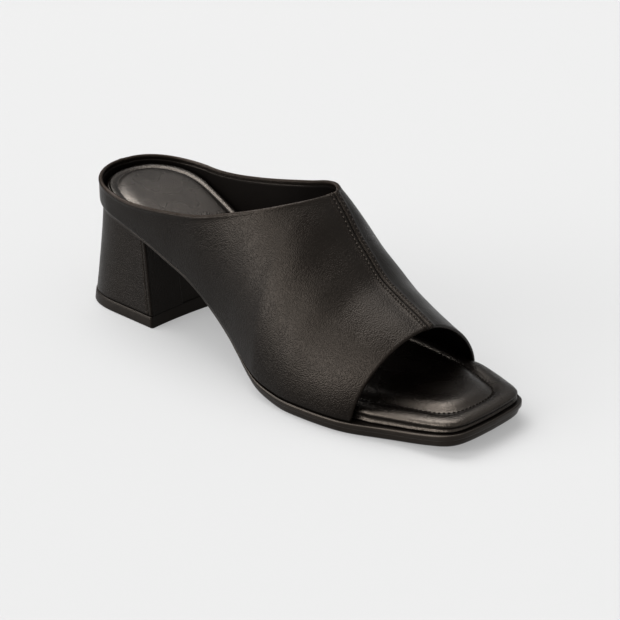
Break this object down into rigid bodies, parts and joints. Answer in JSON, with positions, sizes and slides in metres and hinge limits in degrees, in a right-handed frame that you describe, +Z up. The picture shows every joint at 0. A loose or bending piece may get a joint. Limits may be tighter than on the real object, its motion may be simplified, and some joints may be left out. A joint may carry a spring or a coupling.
{
  "type": "block heel mule",
  "caption": "Black leather slip-on mule for a right foot, with a raised centre seam, an open squared toe, a padded footbed and a covered block heel.",
  "frame": {"origin": "on the floor, under the centre of the shoe's bounding box", "axes": "+Z up from the floor, +X towards the toe, +Y towards the foot's inner (medial) side"},
  "size_m": [0.2456, 0.0872, 0.0843],
  "materials": {
    "upper_leather": "smooth black leather with a fine grain and a soft sheen",
    "footbed_leather": "smooth black lining leather over padding",
    "sole_rubber": "satin black rubber",
    "heel_leather": "smooth black leather wrapped round the heel block",
    "heel_rubber": "matt black rubber"
  },
  "bodies": {
    "root": {"upper": "upper_leather", "footbed": "footbed_leather", "outsole": "sole_rubber", "heel_block": "heel_leather", "heel_top_piece": "heel_rubber"}
  },
  "joints": []
}
